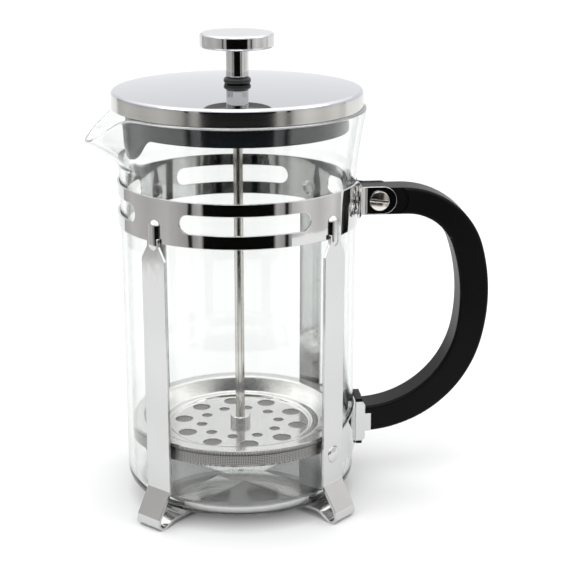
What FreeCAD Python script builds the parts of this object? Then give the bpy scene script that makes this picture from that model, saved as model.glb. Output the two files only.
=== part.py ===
# French press coffee maker: glass beaker, steel frame with handle, lid and plunger with filter stack.
# Millimetres. +Z is up and z = 0 is the surface it stands on. The origin is on the beaker's axis.
# The handle points along +X and the spout along -X. The plunger is pressed down to the lid.
import FreeCAD, Part
import math
import os

Vec = FreeCAD.Vector
UP = Vec(0, 0, 1)
ACROSS = Vec(0, 1, 0)
AXIS = Vec(0, 0, 0)

# ---------------------------------------------------------------- driving dimensions
# Glass beaker
glass_r = 49.0              # outside radius of the straight wall
glass_wall = 2.2
glass_floor = 3.0           # thickness of the glass bottom
glass_corner_r = 8.0        # outside radius where wall meets bottom
rim_z = 168.9               # top of the rim
flare_z = rim_z - 30.9      # the wall opens out above this height
rim_flare = 4.1             # how far the rim stands out from the straight wall
spout_reach = 14.0          # how far the spout's V stands out from the flared wall
spout_half_deg = 32.5       # half the angle that the spout takes from the rim
spout_start_z = rim_z - 22.6# where the spout leaves the wall
spout_full_z = rim_z - 12.9 # where the spout has its full reach
spout_curve = 1.2           # 1 is a straight underside, and more is hollower
fold_round = 0.002          # rounding of the V's fold, and of the two lines where it meets the wall
side_round = 0.012
spout_max_rise = 1.25       # the V stops growing at this multiple of its reach, above the lip
lip_start_deg = 29.9        # the rim starts to fall this far from the spout's middle
lip_slope = 0.81            # and falls by this much for each millimetre outward
lip_bend_r = 16.0

# Clamp band round the beaker
band_gap = 0.3              # glass to band
band_t = 0.8
band_bottom_z = rim_z - 48.0
band_height = 18.0
slot_height = 7.6
slot_z = band_bottom_z + 9.2# centre height of the slots
slot_half_deg = 31.0        # half length of the three long slots
end_slot_deg = (13.0, 31.0)  # the short slots beside the handle, from and to
ear_reach = glass_r + 16.8  # axis to the rounded end of an ear
ear_height = 11.6
ear_z = band_bottom_z + 8.1 # centre height of ears and clamp screw
ear_bend_r = 5.0            # outside radius of the bend between band and ear
band_corner = 4.5           # length and depth of the band's rounded corners at the ears
band_corner_bow = 0.8
dimple_r = 3.7              # dimple round each leg's rivet on the inside of the band
dimple_floor_r = 2.5
dimple_depth = 0.4

# Leg strips: two U-shaped strips that cross under the beaker
leg_width = 12.4
leg_t = 1.2
leg_angles = (-135.0, -45.0)  # direction of the first leg of each strip
shoulder_z = band_bottom_z - 6.9# top of the full width
neck_z = band_bottom_z - 1.3# lower end of the narrow tongue
tongue_width = 5.9
tongue_top_z = band_bottom_z + 9.7
bump_proud = 0.8            # how far the tongue's dome stands out from the leg's face
dome_gap = 0.06             # dome to band
foot_reach = glass_r + 9.2  # axis to the outermost face of a foot
foot_bend_z = 15.5          # the leg bends outward here
foot_toe_z = 4.2            # height of the bend above the toe
cross_z = 3.5               # top of the lower strip under the beaker
bends = (2.0, 1.6, 1.0, 0.9, 2.0, 6.0)  # middle-line radii from the shoulder down to the crossing
foot_flat = (1.5, 3.9)      # the foot rests flat from and to, measured back from its tip
foot_tip_h = 1.7
rivet_r = 1.6
rivet_z = band_bottom_z + 5.1
base_rivet_head = (3.2, 0.9)            # radius and thickness
base_rivet_hollow = (1.0, 1.4)          # radius and depth of its hollow end

# Handle
handle_half_t = 7.0         # half the handle's thickness
handle_reach = glass_r + 57.4# axis to the grip's outer face
handle_top_z = ear_z + 5.2  # top of the upper arm
handle_arm_h = 11.4         # height of the upper and the lower arm
grip_w = 12.3               # thickness of the grip, measured along X
handle_height = 108.4
handle_foot_z = handle_top_z - handle_height    # underside of the lower arm
grip_centre = 0.555         # height of the grip's outermost point, as a share of the handle's height
outer_curve = (0.74, 0.335, 0.49)   # radii of grip, top bend and lower bend, as shares of the height
inner_curve = (0.88, 0.245, 0.49)
handle_edge_r = 1.3
handle_gap = 0.2            # handle to band
recess_end = glass_r + 21.5 # the ears' recess in the handle ends here
recess_gap = 0.6            # ear to the recess's edge, above and below
seat_gap = 0.2              # handle to the lower bracket
handle_root_in = 3.0        # the handle's outline starts this far inside the band, and is cut back to it
flange_t = 2.4
flange_top_z = handle_foot_z + 14.9
flange_bottom_z = handle_foot_z - 5.8

# Clamp screw and nut
screw_x = glass_r + 9.4
screw_r = 2.0
screw_head_r = 4.1
screw_head_t = 1.6
screw_dome = 0.5            # rise of the domed head, part of its thickness
screw_slot_depth = 0.8
nut_thread_out = 0.8        # how far the screw stands out of the nut
screw_slot_w = 1.0
screw_slot_deg = 7.0
running_fit = 0.06          # radial clearance of parts that turn or slide in a bore
nut_across_flats = 7.0
nut_t = 3.0

# Lower bracket
bracket_t = 0.8
bracket_rivet_z = handle_foot_z + 2.5
bracket_head_r = 3.6        # domed head of the bracket's rivets
bracket_head_h = 1.3
bracket_half_deg = 51.0
bracket_leg_h = 11.5        # height of the strap at the legs
bracket_mid_z = (handle_foot_z - 4.3, handle_foot_z + 13.7)  # the strap at the handle, from and to
bracket_swell = (3.0, 6.0, 2.5)  # past the leg's axis the strap swells from and to; short of the handle it is full
plate_corner_r = 2.0
bracket_bend_r = 1.2
web_lap = 1.5               # how far the web between handle and beaker laps over the strap
clamp_reach = glass_r + 4.9 # axis to the edge of the bracket's side plates
tab_reach = glass_r + 7.5   # axis to the edge of the crimp tabs
tab_z = (handle_foot_z + 0.3, handle_foot_z + 8.3)

# Lid
lid_r = glass_r + 2.6
lid_t = 0.8
lid_bottom_z = rim_z + 0.1
lid_side_h = 6.9
lid_crown = 1.9             # how far the dome rises above the side
lid_edge_r = 1.4
insert_r = glass_r - 3.0
insert_wall = 1.8
insert_bottom_z = rim_z - 8.6
insert_gap = 0.1            # insert to cover
insert_deck_drop = 1.0      # deck of the insert to the cover's underside at the edge
insert_rim_lift = 0.6       # the insert's outer rim ends this far above the cover's edge
hub_wall = 3.0              # wall of the insert's hub round the bush
bush_wall = 1.0
hub_bottom_z = insert_bottom_z + 4.0
tongue_deg = -165.5         # direction of the strainer tongue when the lid is closed
strainer_drop = 10.5        # how far the strainer tongue hangs below the insert
strainer_half_w = 20.5
strainer_root = 3.0         # the tongue starts this far above the insert's lower edge
comb_slots = 8
comb_pitch = 1.75
comb_slot_w = 0.7
comb_slot_h = 11.0
comb_low = 3.2              # tip of the tongue to the middle slots
comb_fan = 0.04             # how fast the slots' lower ends rise away from the middle

# Grommet between rod and lid
grommet_r = 5.6
grommet_height = 2.8
grommet_neck_r = 4.2
grommet_flange_t = 1.4

# Knob and rod
knob_r = 15.24
knob_t = 5.9
knob_bottom_z = rim_z + 23.7
knob_edge_r = 1.1
stem_r = 4.7
rod_r = 2.0
rod_thread_in_knob = 3.2
boss_r = 4.35
boss_t = 3.6

# Filter stack
filter_gap = 0.35           # filter edge to glass
plate_t = 0.6
plate_top_z = 35.8
plate_rim_w = 5.0
plate_flat_z = 29.9         # top of the sunken middle
plate_flat_r = glass_r - 16.0
plate_step = (glass_r - 19.0, 1.1)    # radius and height of the step round the middle
plate_bends = (1.2, 1.2, 2.6, 3.2)
outer_holes = (10, 25.1, 3.9, -121.5)   # count, circle radius, hole radius, first angle
inner_holes = (10, 16.8, 2.3, -104.5)
coil_wire_r = 0.9
mesh_t = 0.5
cross_plate_r = glass_r - 13.0
cross_plate_t = 1.0
cross_holes = (6, 22.0, 7.5)            # count, circle radius, hole radius
filter_nut_r = 6.0
filter_nut_t = 5.0

# ---------------------------------------------------------------- sizes that follow
glass_bottom_z = cross_z + leg_t + 0.1
band_in_r = glass_r + band_gap
band_out_r = band_in_r + band_t
band_top_z = band_bottom_z + band_height
leg_out_r = band_out_r + leg_t
handle_root_x = band_in_r - handle_root_in
ear_out_y = handle_half_t - 0.1
ear_in_y = ear_out_y - band_t
filter_r = glass_r - glass_wall - filter_gap
bracket_out_r = band_out_r
bracket_in_r = bracket_out_r - bracket_t
lid_side_top_z = lid_bottom_z + lid_side_h
lid_top_z = lid_side_top_z + lid_crown
grommet_bottom_z = lid_top_z - 0.1
stem_bottom_z = grommet_bottom_z + grommet_height
rod_top_z = knob_bottom_z + rod_thread_in_knob
plate_bottom_z = plate_flat_z - plate_t
mesh_bottom_z = plate_bottom_z - mesh_t
cross_plate_z = mesh_bottom_z - cross_plate_t
nut_bottom_z = cross_plate_z - filter_nut_t

parts = {}


# ---------------------------------------------------------------- helpers
def polar(r, degrees, z=0.0):
    """Point at radius r and the given direction round the beaker's axis."""
    a = math.radians(degrees)
    return Vec(r * math.cos(a), r * math.sin(a), z)


def turned(shape, degrees):
    """Copy of a shape turned round the beaker's axis."""
    copy = shape.copy()
    copy.rotate(AXIS, UP, degrees)
    return copy


def disc(r, z0, z1, x=0.0, y=0.0):
    return Part.makeCylinder(r, z1 - z0, Vec(x, y, z0), UP)


def ring(r_in, r_out, z0, z1):
    return disc(r_out, z0, z1).cut(disc(r_in, z0 - 1, z1 + 1))


def box(x0, x1, y0, y1, z0, z1):
    return Part.makeBox(x1 - x0, y1 - y0, z1 - z0, Vec(x0, y0, z0))


def rod_y(r, x, z, y0, y1):
    """Round bar along Y."""
    return Part.makeCylinder(r, y1 - y0, Vec(x, y0, z), ACROSS)


def rod_out(r, degrees, z, r0, r1):
    """Round bar pointing away from the axis."""
    return Part.makeCylinder(r, r1 - r0, polar(r0, degrees, z), polar(1, degrees))


def revolve(edges):
    """Solid of revolution of a closed outline in the XZ plane."""
    return Part.Face(Part.Wire(edges)).revolve(AXIS, UP, 360)


def outline(points):
    """Straight edges through the points and back to the first."""
    loop = points + points[:1]
    return [Part.makeLine(a, b) for a, b in zip(loop, loop[1:])]


def xz(pairs):
    return [Vec(x, 0, z) for x, z in pairs]


def rounded_path(points, radii):
    """Open wire through the points with each inner corner rounded by its radius."""
    edges = []
    start = points[0]
    for before, corner, after, r in zip(points, points[1:], points[2:], radii):
        into = (before - corner).normalize()
        out = (after - corner).normalize()
        half = into.getAngle(out) / 2
        back = r / math.tan(half)
        a, b = corner + into * back, corner + out * back
        mid_dir = (into + out).normalize()
        mid = corner + mid_dir * (r / math.sin(half) - r)
        edges += [Part.makeLine(start, a), Part.Arc(a, mid, b).toShape()]
        start = b
    edges.append(Part.makeLine(start, points[-1]))
    return Part.Wire(edges)


def strap(path, thickness):
    """Face of a bent strip with the open path as its middle line."""
    side = path.makeOffset2D(-thickness / 2, 0, False, True)
    return side.makeOffset2D(thickness, 0, True, True)


def spline(points, first=None, last=None):
    """Smooth curve through the points, with end directions if they are given."""
    curve = Part.BSplineCurve()
    if first is None:
        curve.interpolate(points)
    else:
        curve.interpolate(points, InitialTangent=first, FinalTangent=last)
    return curve.toShape()


def arc_xz(centre, r, a0, a1):
    """Arc in the XZ plane from angle a0 to angle a1, in radians from +X towards +Z."""
    points = [centre + Vec(r * math.cos(a), 0, r * math.sin(a)) for a in (a0, (a0 + a1) / 2, a1)]
    return Part.Arc(*points).toShape()


def vertical_edges(shape, x, y, reach=0.8):
    """Edges along Z that pass near the given X and Y, on either side of the handle's plane."""
    found = []
    for edge in shape.Edges:
        a, b = edge.Vertexes[0].Point, edge.Vertexes[-1].Point
        upright = math.hypot(a.x - b.x, a.y - b.y) < 0.01 and abs(a.z - b.z) > 1
        if upright and abs(a.x - x) < reach and abs(abs(a.y) - y) < reach:
            found.append(edge)
    return found


def add(name, shape, merge_faces=True):
    parts[name] = shape.removeSplitter() if merge_faces else shape


# ---------------------------------------------------------------- beaker
def flare_at(z):
    """Extra radius of the wall at height z."""
    t = max(0.0, (z - flare_z) / (rim_z - flare_z))
    return rim_flare * t ** 1.5


def spout_at(z, degrees_off):
    """Extra radius of the spout at height z, by the angle from its middle."""
    rise = max(0.0, (z - spout_start_z) / (spout_full_z - spout_start_z)) ** spout_curve
    away = math.sqrt((degrees_off / spout_half_deg) ** 2 + fold_round)
    return spout_reach * min(rise, spout_max_rise) * soft(1 - away) / soft(1 - math.sqrt(fold_round))


def soft(value):
    """The value where it is positive and zero where it is negative, with a rounded change between."""
    return (value + math.sqrt(value ** 2 + side_round)) / 2


def wall_section(z, inset):
    """Closed curve of the wall at height z, set in by a distance."""
    half = [0, 0.7, 1.4, 2.2, 3.2, 4.5] + [6.5 + 2.5 * i for i in range(15)] + [48 + 11 * i for i in range(12)]
    angles = [180 - a for a in reversed(half)] + [180 + a for a in half[1:]]
    points = []
    for a in angles:
        r = glass_r + flare_at(z) + spout_at(z, abs(a - 180)) - inset
        points.append(polar(r, a, z))
    curve = Part.BSplineCurve()
    curve.interpolate(points, PeriodicFlag=True)
    return Part.Wire([curve.toShape()])


def flared_wall(inset):
    """Solid inside the flared and spouted part of the wall."""
    top = rim_z + 2.0
    count = 11
    heights = [flare_z + (top - flare_z) * i / (count - 1) for i in range(count)]
    return Part.makeLoft([wall_section(z, inset) for z in heights], True, False)


def tumbler(inset, bottom_z, corner_r):
    """Straight part of the wall, set in by a distance, closed below with a rounded corner."""
    foot = wall_section(flare_z, inset).translated(Vec(0, 0, bottom_z - flare_z))
    solid = Part.Face(foot).extrude(Vec(0, 0, flare_z - bottom_z))
    rim = [e for e in solid.Edges if abs(e.BoundBox.ZMax - bottom_z) < 0.01]
    return solid.makeFillet(corner_r, rim)


def spout_cutter():
    """Everything above the rim, which bends down along the spout to the lip."""
    far = 2.0 * glass_r
    root_x = -(glass_r + rim_flare) * math.cos(math.radians(lip_start_deg))
    corners = xz([(far, rim_z), (root_x, rim_z), (-far, rim_z - lip_slope * (far + root_x))])
    rim = rounded_path(corners, [lip_bend_r])
    above = [corners[2], Vec(-far, 0, 2 * rim_z), Vec(far, 0, 2 * rim_z), corners[0]]
    face = Part.Face(Part.Wire(rim.Edges + [Part.makeLine(a, b) for a, b in zip(above, above[1:])]))
    face.translate(Vec(0, -far, 0))
    return face.extrude(Vec(0, 2 * far, 0))


def make_beaker():
    inner_corner = max(glass_corner_r - glass_wall, 1.0)
    outer = tumbler(0, glass_bottom_z, glass_corner_r).fuse(flared_wall(0))
    inner = tumbler(glass_wall, glass_bottom_z + glass_floor, inner_corner).fuse(flared_wall(glass_wall))
    add("beaker", outer.cut(inner).cut(spout_cutter()))


# ---------------------------------------------------------------- clamp band
def slot_cutter(mid_deg, half_deg):
    """Slot along the band with round ends."""
    end_deg = half_deg - math.degrees(slot_height / 2 / band_out_r)
    r0, r1 = band_in_r - 2, band_out_r + 2
    sector = box(0, 2 * r1, -2 * r1, 2 * r1, slot_z - slot_height / 2, slot_z + slot_height / 2)
    bar = ring(r0, r1, slot_z - slot_height / 2, slot_z + slot_height / 2)
    low = turned(sector, mid_deg - end_deg + 90)
    high = turned(sector, mid_deg + end_deg - 90)
    cutter = bar.common(low).common(high)
    for side in (-1, 1):
        cutter = cutter.fuse(rod_out(slot_height / 2, mid_deg + side * end_deg, slot_z, r0, r1))
    return cutter


def ear_profile():
    """Side view of ears and band ends, open towards the band."""
    half = ear_height / 2
    end_x = ear_reach - half
    root_x = math.sqrt(band_out_r ** 2 - ear_out_y ** 2)
    start_x, mid_x, stop_x = root_x - band_corner, root_x - 1.0, root_x + 1.5
    far = -2 * band_out_r
    low = xz([(start_x, band_bottom_z), (mid_x, band_bottom_z + band_corner_bow / 2), (stop_x, ear_z - half)])
    high = xz([(stop_x, ear_z + half), (mid_x, band_top_z - band_corner_bow), (start_x, band_top_z)])
    tip = xz([(end_x, ear_z - half), (ear_reach, ear_z), (end_x, ear_z + half)])
    back = xz([(far, band_top_z), (far, band_bottom_z)])
    edges = [Part.Arc(*low).toShape(), Part.makeLine(low[2], tip[0]), Part.Arc(*tip).toShape(),
             Part.makeLine(tip[2], high[0]), Part.Arc(*high).toShape(), Part.makeLine(high[2], back[0]),
             Part.makeLine(back[0], back[1]), Part.makeLine(back[1], low[0])]
    face = Part.Face(Part.Wire(edges))
    face.translate(Vec(0, far, 0))
    return face.extrude(Vec(0, -2 * far, 0))


def band_path():
    """Middle line of the strap: ear, bend, round the beaker, bend, ear."""
    r, y = band_out_r - band_t / 2, ear_out_y - band_t / 2
    bend = ear_bend_r + band_t / 2
    turn = math.asin((y + bend) / (r + bend))
    bend_x = (r + bend) * math.cos(turn)
    join = Vec(r * math.cos(turn), -r * math.sin(turn), 0)
    middle = Vec(bend_x - bend * math.sin(math.pi / 4 - turn / 2), bend * math.cos(math.pi / 4 - turn / 2) - y - bend, 0)
    end = Vec(ear_reach + 1, -y, 0)
    mirror = [Vec(p.x, -p.y, 0) for p in (join, middle, end)]
    foot = Vec(bend_x, -y, 0)
    return Part.Wire([Part.makeLine(end, foot), Part.Arc(foot, middle, join).toShape(),
                      Part.Arc(join, Vec(-r, 0, 0), mirror[0]).toShape(),
                      Part.Arc(mirror[0], mirror[1], Vec(bend_x, y, 0)).toShape(),
                      Part.makeLine(Vec(bend_x, y, 0), mirror[2])])


def make_band():
    face = strap(band_path(), band_t)
    band = face.extrude(Vec(0, 0, band_height)).translated(Vec(0, 0, band_bottom_z))
    band = band.common(ear_profile())
    for mid_deg in (-90, 90, 180):
        band = band.cut(slot_cutter(mid_deg, slot_half_deg))
    end_mid = sum(end_slot_deg) / 2
    end_half = (end_slot_deg[1] - end_slot_deg[0]) / 2
    for side in (-1, 1):
        band = band.cut(slot_cutter(side * end_mid, end_half))
    for a in leg_directions():
        band = band.cut(rod_out(rivet_r, a, rivet_z, band_in_r - 1, band_out_r + 1)).cut(dimple(a))
    band = band.cut(rod_y(screw_r + running_fit, screw_x, ear_z, -2 * ear_out_y, 2 * ear_out_y))
    add("clamp_band", band, merge_faces=False)


def dimple(degrees):
    """Dished recess round a rivet on the inside of the band."""
    start = math.sqrt(band_in_r ** 2 - dimple_r ** 2)
    depth = band_in_r - start + dimple_depth
    return Part.makeCone(dimple_r, dimple_floor_r, depth, polar(start, degrees, rivet_z), polar(1, degrees))


# ---------------------------------------------------------------- leg strips
def leg_directions():
    return [a + turn for a in leg_angles for turn in (0, 180)]


def strip_path(cross_top_z):
    """Middle line of one strip, from one tongue down, under the beaker and up the other leg."""
    mid_r = leg_out_r - leg_t / 2
    toe = foot_reach - leg_t / 2
    low = leg_t / 2
    half = [(mid_r, band_top_z), (mid_r, foot_bend_z), (toe - 0.5, foot_toe_z + 1.0), (toe, low + foot_tip_h),
            (toe - foot_flat[0], low), (toe - foot_flat[1], low), (glass_r - 0.6, cross_top_z - leg_t / 2)]
    points = xz(half) + xz([(-x, z) for x, z in reversed(half)])
    return rounded_path(points, bends + bends[::-1])


def strip_front():
    """Front view of one leg: full width, shoulders and narrow tongue."""
    w, n = leg_width / 2, tongue_width / 2
    shoulder = [Vec(0, -w, -1), Vec(0, w, -1), Vec(0, w, shoulder_z), Vec(0, n, neck_z),
                Vec(0, n, neck_z + 3), Vec(0, -n, neck_z + 3), Vec(0, -n, neck_z), Vec(0, -w, shoulder_z)]
    face = Part.Face(Part.Wire(outline(shoulder)))
    return face.extrude(Vec(4 * foot_reach, 0, 0)).translated(Vec(-2 * foot_reach, 0, 0))


def tongue_dome():
    """Domed oval end of a leg, lying on the band."""
    r = tongue_width / 2 + 0.35
    x = leg_out_r + bump_proud - r
    low, high = neck_z + 0.6, tongue_top_z - r
    dome = Part.makeCylinder(r, high - low, Vec(x, 0, low), UP)
    dome = dome.fuse(Part.makeSphere(r, Vec(x, 0, high))).fuse(Part.makeSphere(r, Vec(x, 0, low)))
    return dome.cut(disc(band_out_r + dome_gap, 0, 2 * tongue_top_z))


def make_strip(name, direction, cross_top_z):
    face = strap(strip_path(cross_top_z), leg_t)
    strip = face.extrude(Vec(0, leg_width, 0)).translated(Vec(0, -leg_width / 2, 0))
    strip = strip.common(strip_front())
    strip = strip.fuse(tongue_dome()).fuse(turned(tongue_dome(), 180))
    strip = strip.cut(disc(rivet_r, -1, cross_z + 2 * leg_t))
    for side in (0, 180):
        strip = strip.cut(rod_out(rivet_r, side, rivet_z, band_in_r, leg_out_r))
        if bracket_leg(direction + side):
            strip = strip.cut(rod_out(rivet_r, side, bracket_rivet_z, band_in_r, leg_out_r + 1))
    add(name, turned(strip, direction))


def bracket_leg(direction):
    """True for the two legs beside the handle, which carry the lower bracket."""
    return math.cos(math.radians(direction)) > 0


def make_leg_rivets():
    rivets = [rod_out(rivet_r, a, rivet_z, band_in_r, leg_out_r) for a in leg_directions()]
    add("leg_rivets", Part.makeCompound(rivets))


def make_base_rivet():
    head_r, head_t = base_rivet_head
    bore_r, bore_h = base_rivet_hollow
    head_top, top = cross_z - leg_t, cross_z + leg_t
    head = disc(head_r, head_top - head_t, head_top)
    rim = [e for e in head.Edges if abs(e.BoundBox.ZMax - head.BoundBox.ZMin) < 0.01]
    rivet = head.makeFillet(0.6, rim).fuse(disc(rivet_r, head_top, top))
    add("base_rivet", rivet.cut(disc(bore_r, top - bore_h, top + 1)))


# ---------------------------------------------------------------- handle
def d_curve(reach, top, foot, shares):
    """One side of the handle's D: top line, top bend, grip, lower bend and bottom line, all tangent."""
    height = top - foot
    bulge_z = foot + grip_centre * height
    r_grip, r_top, r_foot = (share * height for share in shares)
    grip = Vec(reach - r_grip, 0, bulge_z)
    centres = []
    for r, z in ((r_top, top - r_top), (r_foot, foot + r_foot)):
        centres.append(grip + Vec(math.sqrt((r_grip - r) ** 2 - (z - bulge_z) ** 2), 0, z - bulge_z))
    angles = [math.atan2((c - grip).z, (c - grip).x) for c in centres]
    start, end = Vec(handle_root_x, 0, top), Vec(handle_root_x, 0, foot)
    a, d = centres[0] + Vec(0, 0, r_top), centres[1] - Vec(0, 0, r_foot)
    return [Part.makeLine(start, a),
            arc_xz(centres[0], r_top, math.pi / 2, angles[0]),
            arc_xz(grip, r_grip, angles[0], angles[1]),
            arc_xz(centres[1], r_foot, angles[1], -math.pi / 2),
            Part.makeLine(d, end)]


def handle_side():
    """Side view of the handle: outer curve, inner curve and the two ends."""
    low, high = handle_foot_z, handle_top_z
    outer = d_curve(handle_reach, high, low, outer_curve)
    inner = d_curve(handle_reach - grip_w, high - handle_arm_h, low + handle_arm_h, inner_curve)
    ends = [Part.makeLine(Vec(handle_root_x, 0, z), Vec(handle_root_x, 0, z + handle_arm_h))
            for z in (low, high - handle_arm_h)]
    return Part.Face(Part.Wire(Part.__sortEdges__(outer + inner + ends)))


def long_edges(shape):
    """Edges of the handle's two side faces, apart from its ends."""
    found = []
    for edge in shape.Edges:
        b = edge.BoundBox
        flat = b.YMax - b.YMin < 0.01 and abs(abs(b.YMax) - handle_half_t) < 0.01
        if flat and b.XMax > band_out_r + 6:
            found.append(edge)
    return found


def make_handle():
    grip = handle_side().extrude(Vec(0, 2 * handle_half_t, 0)).translated(Vec(0, -handle_half_t, 0))
    grip = grip.makeFillet(handle_edge_r, long_edges(grip))
    half = ear_height / 2 + recess_gap
    inside_x = handle_root_x - 1
    for side in (-1, 1):
        y0, y1 = sorted((side * ear_in_y, side * (handle_half_t + 1)))
        grip = grip.cut(box(inside_x, recess_end - half, y0, y1, ear_z - half - 2, ear_z + half + 2))
        grip = grip.cut(rod_y(half + 0.4, recess_end - half, ear_z, y0, y1))
        y0, y1 = sorted((side * (ear_out_y - bracket_t), side * (handle_half_t + 1)))
        grip = grip.cut(box(inside_x, clamp_reach + seat_gap, y0, y1, 0, bracket_mid_z[1] + seat_gap))
        grip = grip.cut(box(inside_x, tab_reach + seat_gap, y0, y1, tab_z[0] - seat_gap, tab_z[1] + seat_gap))
    flange_in = band_out_r + handle_gap
    flange_y = ear_out_y - bracket_t
    flange = box(inside_x, flange_in + flange_t, -flange_y, flange_y, flange_bottom_z, flange_top_z)
    grip = grip.fuse(flange).removeSplitter()
    grip = grip.cut(disc(flange_in, 0, rim_z))
    grip = grip.cut(rod_y(screw_r + running_fit, screw_x, ear_z, -2 * handle_half_t, 2 * handle_half_t))
    add("handle", grip)


# ---------------------------------------------------------------- clamp screw and nut
def make_screw():
    head_y = -ear_out_y - screw_head_t
    tip_y = ear_out_y + nut_t + nut_thread_out
    dome_r = (screw_head_r ** 2 + screw_dome ** 2) / (2 * screw_dome)
    head = rod_y(screw_head_r, screw_x, ear_z, head_y, -ear_out_y)
    head = head.common(Part.makeSphere(dome_r, Vec(screw_x, head_y + dome_r, ear_z)))
    groove = box(-2 * screw_head_r, 2 * screw_head_r, head_y - 1, head_y + screw_slot_depth,
                 -screw_slot_w / 2, screw_slot_w / 2)
    groove.rotate(AXIS, ACROSS, screw_slot_deg)
    groove.translate(Vec(screw_x, 0, ear_z))
    shank = rod_y(screw_r, screw_x, ear_z, -ear_out_y - 0.1, tip_y)
    tip = [e for e in shank.Edges if abs(e.BoundBox.YMin - tip_y) < 0.01]
    add("clamp_screw", head.fuse(shank.makeChamfer(0.4, tip)).cut(groove))


def make_nut():
    corner = nut_across_flats / math.sqrt(3)
    points = [Vec(screw_x + corner * math.cos(math.radians(60 * i)), ear_out_y,
                  ear_z + corner * math.sin(math.radians(60 * i))) for i in range(6)]
    body = Part.Face(Part.Wire(outline(points))).extrude(Vec(0, nut_t, 0))
    bore = rod_y(screw_r + running_fit, screw_x, ear_z, 0, 3 * ear_out_y)
    add("clamp_nut", body.cut(bore))


# ---------------------------------------------------------------- lower bracket
def bracket_side():
    """Side view of the strap: low at the legs, tall at the handle, with round lobes at the rivets."""
    leg_x = bracket_out_r * math.cos(math.radians(leg_angles[1]))
    start, end, short = bracket_swell
    low, high = bracket_rivet_z - bracket_leg_h / 2, bracket_rivet_z + bracket_leg_h / 2
    full_x, far = bracket_out_r - short, 2 * bracket_out_r
    z0, z1 = bracket_mid_z
    points = xz([(0, low), (leg_x + start, low), (leg_x + end, z0), (full_x, z0), (far, z0),
                 (far, z1), (full_x, z1), (leg_x + start, high), (0, high)])
    face = Part.Face(Part.Wire(outline(points)))
    face.translate(Vec(0, -2 * glass_r, 0))
    return face.extrude(Vec(0, 4 * glass_r, 0))


def make_bracket():
    z0, z1 = bracket_mid_z
    low = min(z0, bracket_rivet_z - bracket_leg_h)
    strap = ring(bracket_in_r, bracket_out_r, low, z1)
    wedge = box(0, 2 * bracket_out_r, -2 * bracket_out_r, 2 * bracket_out_r, 0, 2 * z1)
    strap = strap.common(turned(wedge, 90 - bracket_half_deg)).common(turned(wedge, bracket_half_deg - 90))
    strap = strap.cut(box(0, 2 * bracket_out_r, -ear_out_y + bracket_t, ear_out_y - bracket_t, 0, 2 * z1))
    strap = strap.common(bracket_side())
    root_x = math.sqrt(bracket_in_r ** 2 - (ear_out_y - bracket_t) ** 2)
    for side in (-1, 1):
        y0, y1 = sorted((side * (ear_out_y - bracket_t), side * ear_out_y))
        plate = box(root_x, clamp_reach, y0, y1, z0, z1)
        corners = [e for e in plate.Edges if abs(e.BoundBox.XMin - clamp_reach) < 0.01
                   and e.BoundBox.ZMax - e.BoundBox.ZMin < 0.01]
        plate = plate.makeFillet(plate_corner_r, corners)
        strap = strap.fuse(plate).fuse(box(root_x, tab_reach, y0, y1, tab_z[0], tab_z[1]))
    strap = strap.removeSplitter()
    for a in (-45, 45):
        strap = strap.cut(rod_out(rivet_r, a, bracket_rivet_z, bracket_in_r - 1, bracket_out_r + 1))
    corner_x = math.sqrt(bracket_out_r ** 2 - ear_out_y ** 2)
    strap = strap.makeFillet(bracket_bend_r, vertical_edges(strap, corner_x, ear_out_y, 0.3))
    add("lower_bracket", bridge(strap))


def bridge(strap):
    """The two halves of the strap joined by a web between handle and beaker."""
    y = ear_out_y - bracket_t
    web = ring(bracket_in_r, bracket_out_r, bracket_mid_z[0], bracket_mid_z[1])
    web = web.common(box(0, 2 * bracket_out_r, -y - web_lap, y + web_lap, 0, rim_z))
    return strap.fuse(web)


def make_bracket_rivets():
    dome_r = (bracket_head_r ** 2 + bracket_head_h ** 2) / (2 * bracket_head_h)
    rivets = []
    for a in (-45, 45):
        shank = rod_out(rivet_r, a, bracket_rivet_z, bracket_in_r, leg_out_r)
        dome = Part.makeSphere(dome_r, polar(leg_out_r + bracket_head_h - dome_r, a, bracket_rivet_z))
        outside = turned(box(leg_out_r, 2 * leg_out_r, -2 * bracket_head_r, 2 * bracket_head_r, 0, rim_z), a)
        rivets.append(shank.fuse(dome.common(outside)).removeSplitter())
    add("bracket_rivets", Part.makeCompound(rivets))


# ---------------------------------------------------------------- lid
def dome_outline(r, side_z, top_z, edge_r):
    """Edges from the axis over the domed top to the side."""
    sag_mid = Vec(r * 0.55, 0, top_z - (top_z - side_z) * 0.28)
    top_end = Vec(r - edge_r, 0, side_z)
    down = math.sqrt(0.5) * edge_r
    corner = Part.Arc(top_end, Vec(r - edge_r + down, 0, side_z - edge_r + down), Vec(r, 0, side_z - edge_r))
    return [Part.Arc(Vec(0, 0, top_z), sag_mid, top_end).toShape(), corner.toShape()]


def make_lid_cover():
    def cup(r, side_z, top_z, edge_r, bottom):
        edges = dome_outline(r, side_z, top_z, edge_r)
        edges += [Part.makeLine(Vec(r, 0, side_z - edge_r), Vec(r, 0, bottom)),
                  Part.makeLine(Vec(r, 0, bottom), Vec(0, 0, bottom)),
                  Part.makeLine(Vec(0, 0, bottom), Vec(0, 0, top_z))]
        return revolve(edges)
    outer = cup(lid_r, lid_side_top_z, lid_top_z, lid_edge_r, lid_bottom_z)
    inner_edge = max(lid_edge_r - lid_t, 0.2)
    inner = cup(lid_r - lid_t, lid_side_top_z - lid_t, lid_top_z - lid_t, inner_edge, lid_bottom_z - 1)
    cover = outer.cut(inner).cut(disc(bush_r(), lid_bottom_z, lid_top_z + 1))
    add("lid_cover", cover)


def bush_r():
    """Radius of the hole in the cover, in which the bush sits."""
    return grommet_neck_r + running_fit + bush_wall


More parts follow.
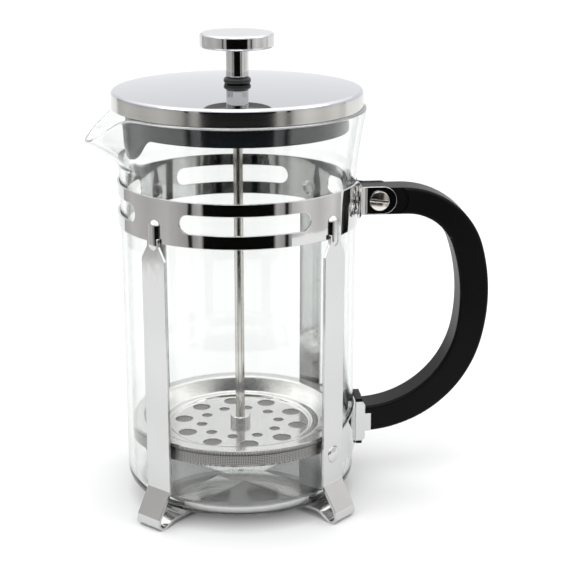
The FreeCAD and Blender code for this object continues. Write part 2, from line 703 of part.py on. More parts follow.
def strainer_side():
    """Front view of the strainer tongue, hanging below the insert."""
    w, top, low = strainer_half_w, insert_bottom_z, insert_bottom_z - strainer_drop
    flank = [(w, top), (0.72 * w, low + 0.84 * strainer_drop), (0.52 * w, low + 0.42 * strainer_drop),
             (0.3 * w, low + 0.1 * strainer_drop)]
    right = [Vec(0, y, z) for y, z in flank]
    left = [Vec(0, -p.y, p.z) for p in reversed(right)]
    curve = spline(right + [Vec(0, 0, low)] + left, Vec(0, -1, 0), Vec(0, -1, 0))
    a, b, up = right[0], left[-1], Vec(0, 0, strainer_root)
    edges = [curve, Part.makeLine(b, b + up), Part.makeLine(b + up, a + up), Part.makeLine(a + up, a)]
    return Part.Face(Part.Wire(edges)).extrude(Vec(2 * insert_r, 0, 0))


def make_lid_insert():
    top_z = lid_side_top_z - lid_t - insert_gap - insert_deck_drop
    low = insert_bottom_z - strainer_drop
    skirt = ring(insert_r - insert_wall, insert_r, insert_bottom_z, top_z)
    deck = disc(lid_r - lid_t - insert_gap, top_z - insert_wall, top_z)
    rim = ring(lid_r - lid_t - insert_gap - insert_wall, lid_r - lid_t - insert_gap, lid_bottom_z + insert_rim_lift, top_z)
    tongue = ring(insert_r - insert_wall, insert_r, low, insert_bottom_z + strainer_root).common(strainer_side())
    insert = skirt.fuse(deck).fuse(rim).fuse(turned(tongue, tongue_deg))
    hub = disc(bush_r() + hub_wall, hub_bottom_z, top_z)
    insert = insert.fuse(hub).cut(disc(bush_r(), low, top_z + 1))
    insert = insert.cut(rib_slots())
    add("lid_insert", insert)


def rib_slots():
    """Comb of upright slots through the strainer tongue."""
    slots = []
    low = insert_bottom_z - strainer_drop + comb_low
    for i in range(comb_slots):
        y = (i - (comb_slots - 1) / 2) * comb_pitch
        slots.append(box(0, 2 * insert_r, y - comb_slot_w / 2, y + comb_slot_w / 2,
                         low + comb_fan * y ** 2, low + comb_slot_h))
    return turned(Part.makeCompound(slots), tongue_deg)


def make_lid_bush():
    top_z = lid_top_z - lid_t * 0.5
    bush = ring(grommet_neck_r + running_fit, bush_r(), hub_bottom_z, top_z)
    add("lid_bush", bush)


def make_grommet():
    top = disc(grommet_r, grommet_bottom_z + 0.1, stem_bottom_z)
    rims = [e for e in top.Edges if e.Length > grommet_r]
    top = top.makeFillet(min(1.25, grommet_height * 0.44), [e for e in rims if len(e.Vertexes) == 1])
    foot_top = hub_bottom_z - 0.1
    neck = disc(grommet_neck_r, foot_top, grommet_bottom_z + 0.5)
    foot = disc(grommet_r, foot_top - grommet_flange_t, foot_top)
    shape = top.fuse(neck).fuse(foot)
    add("rod_grommet", shape.cut(disc(rod_r + running_fit, insert_bottom_z, rim_z * 2)))


# ---------------------------------------------------------------- plunger
def make_knob():
    knob = disc(knob_r, knob_bottom_z, knob_bottom_z + knob_t)
    rims = [e for e in knob.Edges if len(e.Vertexes) == 1]
    knob = knob.makeFillet(knob_edge_r, rims)
    add("knob", knob.cut(disc(rod_r, knob_bottom_z - 1, rod_top_z)))


def make_stem():
    stem = disc(stem_r, stem_bottom_z + 0.1, knob_bottom_z)
    low = [e for e in stem.Edges if len(e.Vertexes) == 1 and e.BoundBox.ZMax < knob_bottom_z - 1]
    stem = stem.makeFillet(0.5, low)
    add("knob_stem", stem.cut(disc(rod_r, 0, knob_bottom_z + 1)))


def make_rod():
    add("plunger_rod", disc(rod_r, nut_bottom_z + 1.0, rod_top_z))


def make_rod_boss():
    boss = disc(boss_r, plate_flat_z, plate_flat_z + boss_t)
    top = [e for e in boss.Edges if len(e.Vertexes) == 1 and e.BoundBox.ZMin > plate_flat_z + 1]
    boss = boss.makeFillet(0.5, top)
    add("rod_boss", boss.cut(disc(rod_r, plate_flat_z - 1, plate_flat_z + boss_t + 1)))


def hole_ring(holes, z0, z1):
    count, circle_r, hole_r = holes[:3]
    first = holes[3] if len(holes) > 3 else 0.0
    drills = []
    for i in range(count):
        p = polar(circle_r, first + 360.0 / count * i)
        drills.append(disc(hole_r, z0, z1, p.x, p.y))
    return Part.makeCompound(drills)


def make_filter_plate():
    """Pressed dish with a flat rim, a hollow slope and a small step round the drilled middle."""
    rim_in = filter_r - plate_rim_w
    step_r, step_h = plate_step
    flat, top = plate_flat_z - plate_t / 2, plate_top_z - plate_t / 2
    path = rounded_path(xz([(rod_r, flat), (step_r, flat), (step_r + step_h, flat + step_h),
                            (plate_flat_r + step_h, flat + step_h), (rim_in, top), (filter_r - 0.1, top)]), plate_bends)
    plate = strap(path, plate_t).revolve(AXIS, UP, 360)
    for holes in (outer_holes, inner_holes):
        plate = plate.cut(hole_ring(holes, flat - plate_t, flat + plate_t))
    add("filter_plate", plate)


def make_edge_coil():
    z = plate_top_z - plate_t - coil_wire_r
    add("edge_coil", Part.makeTorus(filter_r - coil_wire_r, coil_wire_r, Vec(0, 0, z)))


def make_mesh():
    top_z = plate_top_z - plate_t - 2 * coil_wire_r
    cup = disc(filter_r, mesh_bottom_z, top_z).cut(disc(filter_r - mesh_t, mesh_bottom_z + mesh_t, top_z + 1))
    add("mesh_screen", cup.cut(disc(rod_r, 0, top_z)))


def make_cross_plate():
    plate = disc(cross_plate_r, cross_plate_z, mesh_bottom_z)
    plate = plate.cut(hole_ring(cross_holes, cross_plate_z - 1, mesh_bottom_z + 1))
    add("cross_plate", plate.cut(disc(rod_r, 0, mesh_bottom_z + 1)))


def make_filter_nut():
    nut = disc(filter_nut_r, nut_bottom_z, cross_plate_z)
    rim = [e for e in nut.Edges if len(e.Vertexes) == 1 and e.BoundBox.ZMax < cross_plate_z - 1]
    nut = nut.makeFillet(0.8, rim)
    add("filter_nut", nut.cut(disc(rod_r, nut_bottom_z + 1.0, cross_plate_z + 1)))


# ---------------------------------------------------------------- build
def main():
    make_beaker()
    make_band()
    make_strip("leg_strip_lower", leg_angles[0], cross_z)
    make_strip("leg_strip_upper", leg_angles[1], cross_z + leg_t)
    make_leg_rivets()
    make_base_rivet()
    make_handle()
    make_screw()
    make_nut()
    make_bracket()
    make_bracket_rivets()
    make_lid_cover()
    make_lid_insert()
    make_lid_bush()
    make_grommet()
    make_knob()
    make_stem()
    make_rod()
    make_rod_boss()
    make_filter_plate()
    make_edge_coil()
    make_mesh()
    make_cross_plate()
    make_filter_nut()
    os.makedirs("parts", exist_ok=True)
    for name, shape in parts.items():
        shape.exportStep(f"parts/{name}.step")
        print(f"{name:18s} solids {len(shape.Solids)} valid {shape.isValid()} volume {shape.Volume:9.1f}")


main()
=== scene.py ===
# Looks of the french press: a glass beaker in a polished steel frame on a plain pale floor.
# Metres, in the frame's own axes: +Z up, handle along +X, spout along -X.
import math

import bmesh
import bpy
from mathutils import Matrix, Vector


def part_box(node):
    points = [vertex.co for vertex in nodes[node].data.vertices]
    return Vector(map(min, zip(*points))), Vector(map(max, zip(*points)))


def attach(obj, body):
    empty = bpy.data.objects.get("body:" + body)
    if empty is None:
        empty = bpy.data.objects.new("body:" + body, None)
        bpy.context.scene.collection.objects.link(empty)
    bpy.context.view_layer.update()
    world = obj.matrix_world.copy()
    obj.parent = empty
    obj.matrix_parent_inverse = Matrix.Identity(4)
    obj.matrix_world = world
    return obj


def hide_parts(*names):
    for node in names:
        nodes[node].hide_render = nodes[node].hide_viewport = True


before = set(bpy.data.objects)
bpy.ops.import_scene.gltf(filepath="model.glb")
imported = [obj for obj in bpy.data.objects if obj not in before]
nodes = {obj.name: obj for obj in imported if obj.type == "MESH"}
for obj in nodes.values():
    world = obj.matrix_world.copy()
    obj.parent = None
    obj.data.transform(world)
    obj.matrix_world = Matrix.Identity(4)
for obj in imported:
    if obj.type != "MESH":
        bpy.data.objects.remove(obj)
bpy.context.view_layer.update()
MM = 0.001


# ---------------------------------------------------------------- camera, stage and light
CAMERA_PLACE = Vector((-0.0364, -0.5959, 0.2710))
CAMERA_HEADING = math.radians(5.363)    # to the right of +Y
CAMERA_PITCH = math.radians(16.71)      # below the horizon
CAMERA_LENS = 92.64                     # millimetres
CAMERA_SENSOR = 36.0                    # width in millimetres
FRONT = -93.5                           # direction from the beaker's axis to the camera, degrees
TENT_STRENGTH = 1.9
FLAG_R, FLAG_TOP = 0.44, 0.30           # distance of the cards from the beaker's axis, and their upper edge
FRONT_FLAG_TOP, BACK_FLAG_TOP = 0.24, 0.12
TABLE_FLAG_R = 0.27                     # inner edge of the card that lies on the floor


def make_camera():
    camera = bpy.data.cameras.new("camera")
    camera.lens = CAMERA_LENS
    camera.sensor_width = CAMERA_SENSOR
    holder = bpy.data.objects.new("camera", camera)
    bpy.context.collection.objects.link(holder)
    holder.location = CAMERA_PLACE
    holder.rotation_euler = (math.pi / 2 - CAMERA_PITCH, 0.0, -CAMERA_HEADING)
    bpy.context.scene.camera = holder


def link_mesh(name, verts, faces):
    """New smooth mesh object from plain lists."""
    mesh = bpy.data.meshes.new(name)
    mesh.from_pydata(verts, [], faces)
    mesh.validate()
    mesh.polygons.foreach_set("use_smooth", [True] * len(mesh.polygons))
    piece = bpy.data.objects.new(name, mesh)
    bpy.context.collection.objects.link(piece)
    return piece


def make_floor():
    """Round plate of pale floor."""
    radius, rings, spokes = 6.0, 8, 64
    verts = [(0.0, 0.0, 0.0)]
    for i in range(1, rings + 1):
        r = radius * (i / rings) ** 2
        verts += [(r * math.cos(math.tau * k / spokes), r * math.sin(math.tau * k / spokes), 0.0)
                  for k in range(spokes)]
    faces = [(0, 1 + k, 1 + (k + 1) % spokes) for k in range(spokes)]
    for i in range(rings - 1):
        a, b = 1 + i * spokes, 1 + (i + 1) * spokes
        faces += [(a + k, b + k, b + (k + 1) % spokes, a + (k + 1) % spokes) for k in range(spokes)]
    floor = link_mesh("floor", verts, faces)
    floor.data.materials.append(floor_material())


def make_flag(name, middle_deg, half_deg, place, stops):
    """Curved card that shows only in reflections, as the unlit parts of a studio do.

    place is (radius, low, radius, high): a ring sector from one circle to another.
    stops are (share of the half angle, tone) pairs.
    """
    steps = 32
    r0, z0, r1, z1 = place
    verts, faces = [], []
    for k in range(steps + 1):
        a = math.radians(half_deg) * (2 * k / steps - 1)
        verts += [(r0 * math.cos(a), r0 * math.sin(a), z0), (r1 * math.cos(a), r1 * math.sin(a), z1)]
    for k in range(steps):
        faces.append((2 * k, 2 * k + 2, 2 * k + 3, 2 * k + 1))
    flag = link_mesh(name, verts, faces)
    flag.rotation_euler.z = math.radians(middle_deg)
    for ray in ("camera", "diffuse", "volume_scatter", "shadow"):
        setattr(flag, "visible_" + ray, False)
    flag.data.materials.append(flag_material(name, half_deg, stops))


def make_light(name, place, target, size, power):
    """Square soft box that points at a place."""
    light = bpy.data.lights.new(name, "AREA")
    light.shape = "SQUARE"
    light.size = size
    light.energy = power
    holder = bpy.data.objects.new(name, light)
    bpy.context.collection.objects.link(holder)
    holder.location = place
    holder.rotation_euler = (Vector(target) - Vector(place)).to_track_quat("-Z", "Y").to_euler()


def make_world():
    """White tent: even at the sides and brighter overhead."""
    world = bpy.data.worlds.new("tent")
    bpy.context.scene.world = world
    world.use_nodes = True
    tree = world.node_tree
    coords = tree.nodes.new("ShaderNodeTexCoord")
    split = tree.nodes.new("ShaderNodeSeparateXYZ")
    ramp = tree.nodes.new("ShaderNodeValToRGB")
    dim = ramp.color_ramp.elements[0]
    bright = ramp.color_ramp.elements[1]
    dim.position, dim.color = 0.34, (0.525, 0.53, 0.54, 1.0)
    bright.position, bright.color = 0.80, (1.0, 1.0, 1.0, 1.0)
    tree.links.new(coords.outputs["Generated"], split.inputs[0])
    tree.links.new(split.outputs["Z"], ramp.inputs[0])
    tree.links.new(ramp.outputs[0], tree.nodes["Background"].inputs["Color"])
    tree.nodes["Background"].inputs["Strength"].default_value = TENT_STRENGTH


def make_stage():
    make_world()
    make_floor()
    dark_middle = ((0.0, 0.003), (0.64, 0.004), (0.70, 0.46), (0.84, 0.34), (0.88, 0.02), (0.92, 0.02),
                   (0.96, 0.32), (1.0, 0.36))
    left = ((0.0, 0.44), (0.55, 0.52), (1.0, 0.36))
    right = ((0.0, 0.55), (0.55, 0.70), (1.0, 0.50))
    back = ((0.0, 0.15), (1.0, 0.5))
    make_flag("front_flag", FRONT, 48.0, (FLAG_R, 0.0, FLAG_R, FRONT_FLAG_TOP), dark_middle)
    make_flag("front_table", FRONT, 48.0, (TABLE_FLAG_R, 0.001, FLAG_R, 0.001), dark_middle)
    make_flag("left_flag", FRONT - 90.0, 42.0, (FLAG_R, 0.0, FLAG_R, FLAG_TOP), left)
    make_flag("right_flag", FRONT + 78.0, 30.0, (FLAG_R, 0.02, FLAG_R, FLAG_TOP), right)
    make_flag("back_flag", FRONT + 180.0, 16.0, (FLAG_R, 0.0, FLAG_R, BACK_FLAG_TOP), back)
    make_light("front_box", (-0.05, -0.55, 0.9), (-0.02, -0.22, 0.0), 0.5, 2.2)
    make_light("left_box", (-0.9, -0.35, 0.95), (0, 0, 0.08), 0.6, 2.0)
    make_light("right_box", (0.9, -0.2, 0.9), (0, 0, 0.08), 0.6, 1.5)
    bpy.context.scene.view_settings.view_transform = "Standard"


# ---------------------------------------------------------------- material helpers
class Paint:
    """A material with a Principled shader and short ways to add nodes to it."""

    def __init__(self, name, **settings):
        self.material = bpy.data.materials.new(name)
        self.material.use_nodes = True
        self.tree = self.material.node_tree
        self.shader = self.tree.nodes["Principled BSDF"]
        for key, value in settings.items():
            self.shader.inputs[key.replace("_", " ")].default_value = value

    def node(self, kind, inputs=(), **settings):
        made = self.tree.nodes.new("ShaderNode" + kind)
        for key, value in settings.items():
            setattr(made, key, value)
        for key, value in dict(inputs).items():
            if isinstance(value, bpy.types.NodeSocket):
                self.tree.links.new(value, made.inputs[key])
            else:
                made.inputs[key].default_value = value
        return made

    def set(self, socket, output):
        self.tree.links.new(output, self.shader.inputs[socket])

    def place(self):
        return self.node("TexCoord").outputs["Object"]

    def stretched(self, x, y, z):
        return self.node("Mapping", {"Vector": self.place(), "Scale": (x, y, z)}).outputs[0]

    def around(self, turns, rise):
        """Coordinates that run round the upright axis, turns times, and up by rise per metre."""
        split = self.node("SeparateXYZ", {0: self.place()})
        angle = self.node("Math", {0: split.outputs[1], 1: split.outputs[0]}, operation="ARCTAN2")
        across = self.node("Math", {0: angle.outputs[0], 1: turns / math.tau}, operation="MULTIPLY")
        up = self.node("Math", {0: split.outputs[2], 1: rise}, operation="MULTIPLY")
        return self.node("CombineXYZ", {0: across.outputs[0], 1: up.outputs[0]}).outputs[0]

    def noise(self, vector, scale, detail=3.0):
        return self.node("TexNoise", {"Vector": vector, "Scale": scale, "Detail": detail}).outputs["Fac"]

    def between(self, value, low, high, start=0.3, end=0.7):
        """A value from start to end spread from low to high."""
        inputs = {"Value": value, "From Min": start, "From Max": end, "To Min": low, "To Max": high}
        return self.node("MapRange", inputs).outputs[0]

    def tones(self, value, dark, light, start=0.3, end=0.7):
        """A colour from dark to light as the value goes from start to end."""
        ramp = self.node("ValToRGB", {0: value})
        for stop, position, tone in zip(ramp.color_ramp.elements, (start, end), (dark, light)):
            stop.position = position
            stop.color = (*tone, 1.0)
        return ramp.outputs[0]

    def bump(self, height, strength, distance=0.0001, edge=0.0):
        inputs = {"Height": height, "Strength": strength, "Distance": distance}
        if edge:
            inputs["Normal"] = self.node("Bevel", {"Radius": edge}, samples=4).outputs[0]
        self.set("Normal", self.node("Bump", inputs).outputs[0])


def grey(value, warm=0.0):
    return (value * (1 + warm), value, value * (1 - warm))


# ---------------------------------------------------------------- materials
EDGE = 0.0004               # rounding of the sheet metal's edges
MESH_FLAT_TOP = 0.0293      # the mesh's edge is turned up above this height
LID_SHOULDER = 0.0033       # crown and rounded edge of the lid, above its straight side
SHADE_R = (0.034, 0.050)    # the floor is darkest within the first radius, and plain outside the second


def floor_material():
    """Pale floor, darker under the beaker for the shade that its glass doesn't cast."""
    paint = Paint("pale_floor", Roughness=0.75)
    away = paint.node("VectorMath", {0: paint.place()}, operation="LENGTH").outputs["Value"]
    outside = paint.between(away, 0.0, 1.0, *SHADE_R)
    tone = paint.between(paint.noise(paint.place(), 3.0), 0.655, 0.67)
    shade = paint.node("Mix", {0: outside, 2: 0.26, 3: tone}).outputs[0]
    paint.set("Base Color", paint.tones(shade, grey(0.0), grey(1.0), 0.0, 1.0))
    paint.bump(paint.noise(paint.place(), 900.0), 0.05)
    return paint.material


def flag_material(name, half_deg, stops):
    """Tones that change with the direction from the middle of a flag."""
    paint = Paint(name, Roughness=1.0, Specular_IOR_Level=0.0)
    split = paint.node("SeparateXYZ", {0: paint.place()})
    angle = paint.node("Math", {0: split.outputs[1], 1: split.outputs[0]}, operation="ARCTAN2")
    share = paint.node("Math", {0: angle.outputs[0], 1: 1 / math.radians(half_deg)}, operation="MULTIPLY")
    away = paint.node("Math", {0: share.outputs[0]}, operation="ABSOLUTE")
    ramp = paint.node("ValToRGB", {0: away.outputs[0]})
    elements = ramp.color_ramp.elements
    while len(elements) < len(stops):
        elements.new(0.5)
    for element, (position, tone) in zip(elements, stops):
        element.position = position
        element.color = (*grey(tone, 0.02), 1.0)
    paint.set("Base Color", ramp.outputs[0])
    only_in_reflections(paint)
    return paint.material


def only_in_reflections(paint):
    """Leaves a surface out of straight lines of sight, also those through glass."""
    bounces = paint.node("LightPath").outputs["Glossy Depth"]
    reflected = paint.node("Math", {0: bounces, 1: 0.5}, operation="GREATER_THAN").outputs[0]
    clear = paint.node("BsdfTransparent").outputs[0]
    mixed = paint.node("MixShader", {0: reflected, 1: clear, 2: paint.shader.outputs[0]}).outputs[0]
    paint.tree.links.new(mixed, paint.tree.nodes["Material Output"].inputs["Surface"])


def glass_material():
    """Clear glass with painted shade where it is seen edge on: its colour darkens there, standing in for
    the dark reflections along a glass edge.
    """
    paint = Paint("clear_glass", Transmission_Weight=1.0, IOR=1.47, Specular_IOR_Level=0.3)
    tone = paint.noise(paint.place(), 20.0)
    face = paint.tones(tone, (0.940, 0.952, 0.944), (0.950, 0.960, 0.953))
    facing = paint.node("LayerWeight", {"Blend": 0.5}).outputs["Facing"]
    # Painted shade: the colour turns to a dark green-grey where the wall is seen edge on.
    painted_edge_shade = paint.between(facing, 0.0, 1.0, 0.62, 0.97)
    mix = paint.node("Mix", {0: painted_edge_shade, 6: face, 7: (0.42, 0.46, 0.43, 1.0)}, data_type="RGBA")
    paint.set("Base Color", mix.outputs[2])
    paint.set("Roughness", paint.between(paint.noise(paint.place(), 60.0), 0.0, 0.01))
    paint.bump(paint.noise(paint.stretched(14, 14, 5), 1.0, 1.0), 0.10, 0.0003)
    return paint.material


def rim_material():
    """Fire-polished edge, made pale and milky as a painted highlight: it stands in for the light that the
    rim gathers from the wall.
    """
    paint = Paint("glass_rim", IOR=1.47)
    tone = paint.noise(paint.place(), 90.0)
    # Painted highlight: a pale base colour and partial transmission make the rim show as a bright line.
    paint.set("Base Color", paint.tones(tone, grey(0.86), grey(0.94)))
    paint.set("Transmission Weight", paint.between(tone, 0.72, 0.85))
    paint.set("Roughness", paint.between(tone, 0.04, 0.10))
    return paint.material


def chrome_material():
    tone = 0.60
    paint = Paint("chrome", Metallic=1.0)
    patches = paint.noise(paint.place(), 45.0)
    paint.set("Base Color", paint.tones(patches, grey(tone * 0.97), grey(tone * 1.02)))
    paint.set("Roughness", paint.between(paint.noise(paint.place(), 120.0, 6.0), 0.02, 0.05))
    paint.bump(paint.noise(paint.stretched(9, 9, 30), 60.0), 0.02, 0.00004, EDGE)
    return paint.material


def lid_material(side_top):
    """Mirror on top and lines spun round the side, with a painted reflection tint: bluer on the top and
    warmer on the side.
    """
    paint = Paint("lid_steel", Metallic=1.0)
    split = paint.node("SeparateXYZ", {0: paint.place()})
    on_top = paint.between(split.outputs[2], 0.0, 1.0, side_top - 0.0006, side_top)
    lines = paint.noise(paint.around(9.0, 9000.0), 1.0, 5.0)
    rough_top = paint.between(paint.noise(paint.place(), 70.0, 5.0), 0.012, 0.04)
    rough = paint.node("Mix", {0: on_top, 2: paint.between(lines, 0.10, 0.24), 3: rough_top})
    paint.set("Roughness", rough.outputs[0])
    side_tone = paint.between(lines, 0.54, 0.66)
    top_tone = paint.between(paint.noise(paint.place(), 9.0), 0.535, 0.565)
    tone = paint.node("Mix", {0: on_top, 2: side_tone, 3: top_tone}).outputs[0]
    # Painted reflection tint: the blue channel is raised on the top and lowered on the side, for the
    # colours each of them reflects.
    warm = paint.node("Mix", {0: on_top, 2: 0.955, 3: 1.035}).outputs[0]
    blue_with_painted_tint = paint.node("Math", {0: tone, 1: warm}, operation="MULTIPLY").outputs[0]
    paint.set("Base Color", paint.node("CombineColor", {0: tone, 1: tone, 2: blue_with_painted_tint}).outputs[0])
    depth = paint.node("Math", {0: 1.0, 1: on_top}, operation="SUBTRACT").outputs[0]
    height = paint.node("Math", {0: lines, 1: depth}, operation="MULTIPLY").outputs[0]
    paint.bump(height, 0.12, 0.00004)
    return paint.material


def satin_material(name="satin_steel", tone=0.60, rough=(0.06, 0.13), warm=0.0):
    paint = Paint(name, Metallic=1.0)
    grain = paint.noise(paint.stretched(1, 1, 0.35), 700.0, 4.0)
    patches = paint.noise(paint.place(), 25.0)
    paint.set("Base Color", paint.tones(patches, grey(tone * 0.95, warm), grey(tone * 1.03, warm)))
    paint.set("Roughness", paint.between(grain, *rough))
    paint.bump(grain, 0.02, 0.00004, EDGE)
    return paint.material


def mesh_material():
    """Fine woven wire: threads along X and Y in the flat, and round and up at the turned-up edge."""
    paint = Paint("woven_mesh", Metallic=1.0)
    weaves = []
    for vector in (paint.stretched(450, 450, 450), paint.around(130.0, 450.0)):
        wave = {"Vector": vector, "Scale": 1.0, "Distortion": 0.3}
        along = paint.node("TexWave", wave).outputs["Fac"]
        across = paint.node("TexWave", wave, bands_direction="Y").outputs["Fac"]
        weaves.append(paint.node("Math", {0: along, 1: across}, operation="MULTIPLY").outputs[0])
    height = paint.node("SeparateXYZ", {0: paint.place()}).outputs[2]
    on_edge = paint.between(height, 0.0, 1.0, MESH_FLAT_TOP, MESH_FLAT_TOP + 0.0003)
    weave = paint.node("Mix", {0: on_edge, 2: weaves[0], 3: weaves[1]}).outputs[0]
    paint.set("Base Color", paint.tones(weave, grey(0.10, 0.06), grey(0.42, 0.04), 0.05, 0.6))
    paint.set("Roughness", paint.between(weave, 0.5, 0.28, 0.0, 1.0))
    paint.bump(weave, 0.5, 0.00012)
    return paint.material


def plastic_material(name, dark, light, rough, grain_scale, grain, shine):
    paint = Paint(name, Specular_IOR_Level=shine)
    patches = paint.noise(paint.place(), 18.0, 4.0)
    paint.set("Base Color", paint.tones(patches, dark, light))
    fine = paint.noise(paint.place(), grain_scale, 5.0)
    paint.set("Roughness", paint.between(fine, *rough))
    paint.bump(fine, grain, 0.00008)
    return paint.material


# ---------------------------------------------------------------- beaker, in millimetres
GLASS_R, GLASS_WALL, GLASS_FLOOR = 49.0, 2.2, 3.0
GLASS_CORNER = 8.0
FLOOR_RINGS = (0.0, 14.0, 28.0)
RIM_Z, FLARE_Z, RIM_FLARE = 168.9, 138.0, 4.1
SPOUT_REACH, SPOUT_HALF = 14.0, 32.5
SPOUT_START_Z, SPOUT_FULL_Z, SPOUT_CURVE = 146.3, 156.0, 1.2
SPOUT_MAX_RISE = 1.25
FOLD_ROUND, SIDE_ROUND = 0.002, 0.012
LIP_START, LIP_SLOPE, LIP_BEND = 29.9, 0.81, 16.0
BEAD = 0.9          # height of the rounded rim
BEAD_SWELL = 1.05   # width of the bead to the wall's thickness
BEAD_POINTS = 8


def soft(value):
    """The value where it is positive and zero where it is negative, with a rounded change between."""
    return (value + math.sqrt(value ** 2 + SIDE_ROUND)) / 2


def wall_radius(z, degrees):
    """Outside radius of the wall in millimetres at a height and a direction."""
    t = max(0.0, (z - FLARE_Z) / (RIM_Z - FLARE_Z))
    rise = max(0.0, (z - SPOUT_START_Z) / (SPOUT_FULL_Z - SPOUT_START_Z)) ** SPOUT_CURVE
    away = math.sqrt(((degrees - 180.0) / SPOUT_HALF) ** 2 + FOLD_ROUND)
    vee = soft(1 - away) / soft(1 - math.sqrt(FOLD_ROUND))
    return GLASS_R + RIM_FLARE * t ** 1.5 + SPOUT_REACH * min(rise, SPOUT_MAX_RISE) * vee


def rim_line(x):
    """Height of the rim at x: level, then bent down along the spout."""
    root = -(GLASS_R + RIM_FLARE) * math.cos(math.radians(LIP_START))
    turn = math.atan(LIP_SLOPE)
    back = LIP_BEND * math.tan(turn / 2)
    if x > root + back:
        return RIM_Z
    if x < root - back * math.cos(turn):
        return RIM_Z - LIP_SLOPE * (root - x)
    return RIM_Z - LIP_BEND + math.sqrt(LIP_BEND ** 2 - (x - root - back) ** 2)


def rim_height(degrees, inset):
    """Height at which the wall, set in by a distance, meets the underside of the rim's bead."""
    low, high = FLARE_Z, RIM_Z
    for _ in range(40):
        z = (low + high) / 2
        x = (wall_radius(z, degrees) - inset) * math.cos(math.radians(degrees))
        if z < rim_line(x) - BEAD:
            low = z
        else:
            high = z
    return low


def beaker_profile(degrees, bottom):
    """Section of the glass in one direction: (radius, height) from the axis, round the rim, to the axis."""
    def corner(inset, z0, r, steps):
        arc = [math.radians(-90 + 90 * i / steps) for i in range(steps + 1)]
        return [(GLASS_R - inset - r + r * math.cos(a), z0 + r + r * math.sin(a)) for a in arc]

    def wall(inset, low):
        edge = rim_height(degrees, inset)
        heights = [low + (FLARE_Z - low) * i / 6 for i in range(1, 7)]
        heights += [FLARE_Z + (edge - FLARE_Z) * i / 44 for i in range(1, 45)]
        return [(wall_radius(z, degrees) - inset, z) for z in heights]

    outer = [(r, bottom) for r in FLOOR_RINGS] + corner(0.0, bottom, GLASS_CORNER, 10)
    outer += wall(0.0, bottom + GLASS_CORNER)
    floor = bottom + GLASS_FLOOR
    inner_corner = GLASS_CORNER - GLASS_WALL
    inner = [(r, floor) for r in FLOOR_RINGS] + corner(GLASS_WALL, floor, inner_corner, 10)
    inner += wall(GLASS_WALL, floor + inner_corner)
    (r0, z0), (r1, z1) = outer[-1], inner[-1]
    half_r, half_z = (r0 - r1) / 2, (z0 - z1) / 2
    width = math.hypot(half_r, half_z)
    lift_r, lift_z = -half_z / width * BEAD, half_r / width * BEAD
    bead = []
    for k in range(1, BEAD_POINTS + 1):
        a = math.pi * k / (BEAD_POINTS + 1)
        across, up = BEAD_SWELL * math.cos(a), math.sin(a)
        bead.append(((r0 + r1) / 2 + half_r * across + lift_r * up,
                     (z0 + z1) / 2 + half_z * across + lift_z * up))
    return outer + bead + inner[::-1]


def beaker_directions():
    """Directions of the sections in degrees, close together at the spout's fold."""
    half = [0.35 * i for i in range(12)]
    half += [4.2 + 0.8 * i for i in range(56)]
    half += [49.0 + 3.85 * i for i in range(34)]
    return [180.0 - a for a in reversed(half)] + [180.0 + a for a in half[1:]]


def make_beaker():
    """Thin blown beaker with a rounded rim bead and a pinched spout."""
    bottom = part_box("beaker")[0].z / MM
    directions = beaker_directions()
    rings = [beaker_profile(degrees, bottom) for degrees in directions]
    count, total = len(rings[0]), len(rings)
    verts, faces = [], []
    for degrees, ring in zip(directions, rings):
        c, s = math.cos(math.radians(degrees)), math.sin(math.radians(degrees))
        verts += [(r * c * MM, r * s * MM, z * MM) for r, z in ring]
    for k in range(total):
        a, b = k * count, (k + 1) % total * count
        faces += [(a + i, b + i, b + i + 1, a + i + 1) for i in range(count - 1)]
    piece = link_mesh("beaker_glass", verts, faces)
    piece.data.materials.append(glass_material())
    piece.data.materials.append(rim_material())
    bead_start = (count - BEAD_POINTS) // 2 - 1
    for k, face in enumerate(piece.data.polygons):
        face.material_index = int(bead_start <= k % (count - 1) <= bead_start + BEAD_POINTS)
    mesh = bmesh.new()
    mesh.from_mesh(piece.data)
    bmesh.ops.remove_doubles(mesh, verts=mesh.verts, dist=1e-6)
    bmesh.ops.recalc_face_normals(mesh, faces=mesh.faces)
    mesh.to_mesh(piece.data)
    mesh.free()
    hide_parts("beaker")
    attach(piece, "beaker")
    piece.visible_shadow = False
    piece.visible_diffuse = False


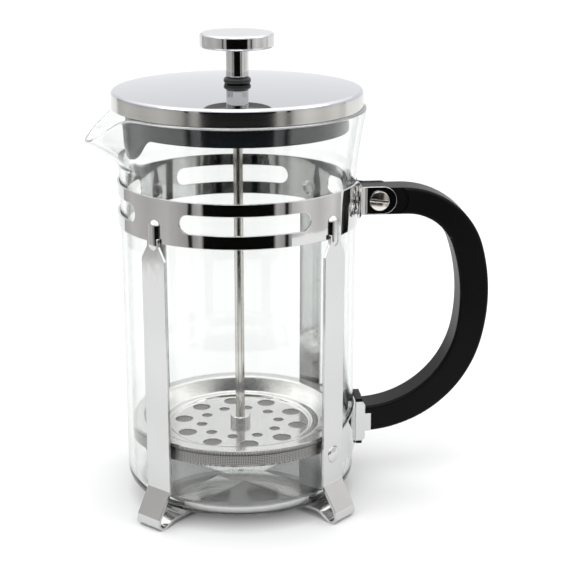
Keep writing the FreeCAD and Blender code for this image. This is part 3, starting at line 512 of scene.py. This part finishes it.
# ---------------------------------------------------------------- filter edge
def make_edge_coil(material):
    """Fine spring wound round the edge of the filter plate."""
    low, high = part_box("edge_coil")
    middle_z = (low.z + high.z) / 2
    tube = (high.z - low.z) / 2
    wire = 0.00026
    centre_r = high.x - tube
    turns, steps = 230, 12
    curve = bpy.data.curves.new("edge_spring", "CURVE")
    curve.dimensions = "3D"
    curve.bevel_depth = wire
    curve.bevel_resolution = 1
    line = curve.splines.new("NURBS")
    line.points.add(turns * steps - 1)
    for k, point in enumerate(line.points):
        a = math.tau * k / (turns * steps)
        b = math.tau * k / steps
        r = centre_r + (tube - wire) * math.cos(b)
        point.co = (r * math.cos(a), r * math.sin(a), middle_z + (tube - wire) * math.sin(b), 1.0)
    line.use_cyclic_u = True
    line.order_u = 3
    line.resolution_u = 1
    piece = bpy.data.objects.new("edge_spring", curve)
    bpy.context.collection.objects.link(piece)
    curve.materials.append(material)
    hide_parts("edge_coil")
    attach(piece, "plunger")


# ---------------------------------------------------------------- finishes of the CAD nodes
def finish_node(name, material):
    mesh = nodes[name].data
    mesh.materials.clear()
    mesh.materials.append(material)


def finish_nodes():
    chrome = chrome_material()
    satin = satin_material()
    filter_steel = satin_material("filter_steel", 0.64, (0.10, 0.20), 0.02)
    rod_steel = satin_material("rod_steel", 0.64, (0.10, 0.2), 0.04)
    nickel = satin_material("nickel", 0.70, (0.12, 0.20), 0.06)
    handle = plastic_material("handle_plastic", grey(0.002), grey(0.004), (0.28, 0.36), 2600.0, 0.12, 0.08)
    insert = plastic_material("lid_plastic", (0.005, 0.0065, 0.008), (0.008, 0.010, 0.012), (0.16, 0.24),
                              900.0, 0.04, 0.35)
    rubber = plastic_material("rubber", grey(0.004), grey(0.007), (0.30, 0.42), 1500.0, 0.10, 0.5)
    lid = lid_material(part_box("lid_cover")[1].z - LID_SHOULDER)
    finishes = {
        chrome: ("clamp_band", "knob", "knob_stem"),
        lid: ("lid_cover",),
        satin: ("leg_strip_lower", "leg_strip_upper", "leg_rivets", "base_rivet", "lower_bracket",
                "bracket_rivets"),
        filter_steel: ("filter_plate", "cross_plate", "filter_nut", "rod_boss"),
        rod_steel: ("plunger_rod",),
        mesh_material(): ("mesh_screen",),
        nickel: ("clamp_screw", "clamp_nut"),
        handle: ("handle",),
        insert: ("lid_insert", "lid_bush"),
        rubber: ("rod_grommet",)}
    for material, names in finishes.items():
        for name in names:
            finish_node(name, material)
    make_edge_coil(filter_steel)


make_camera()
make_stage()
make_beaker()
finish_nodes()
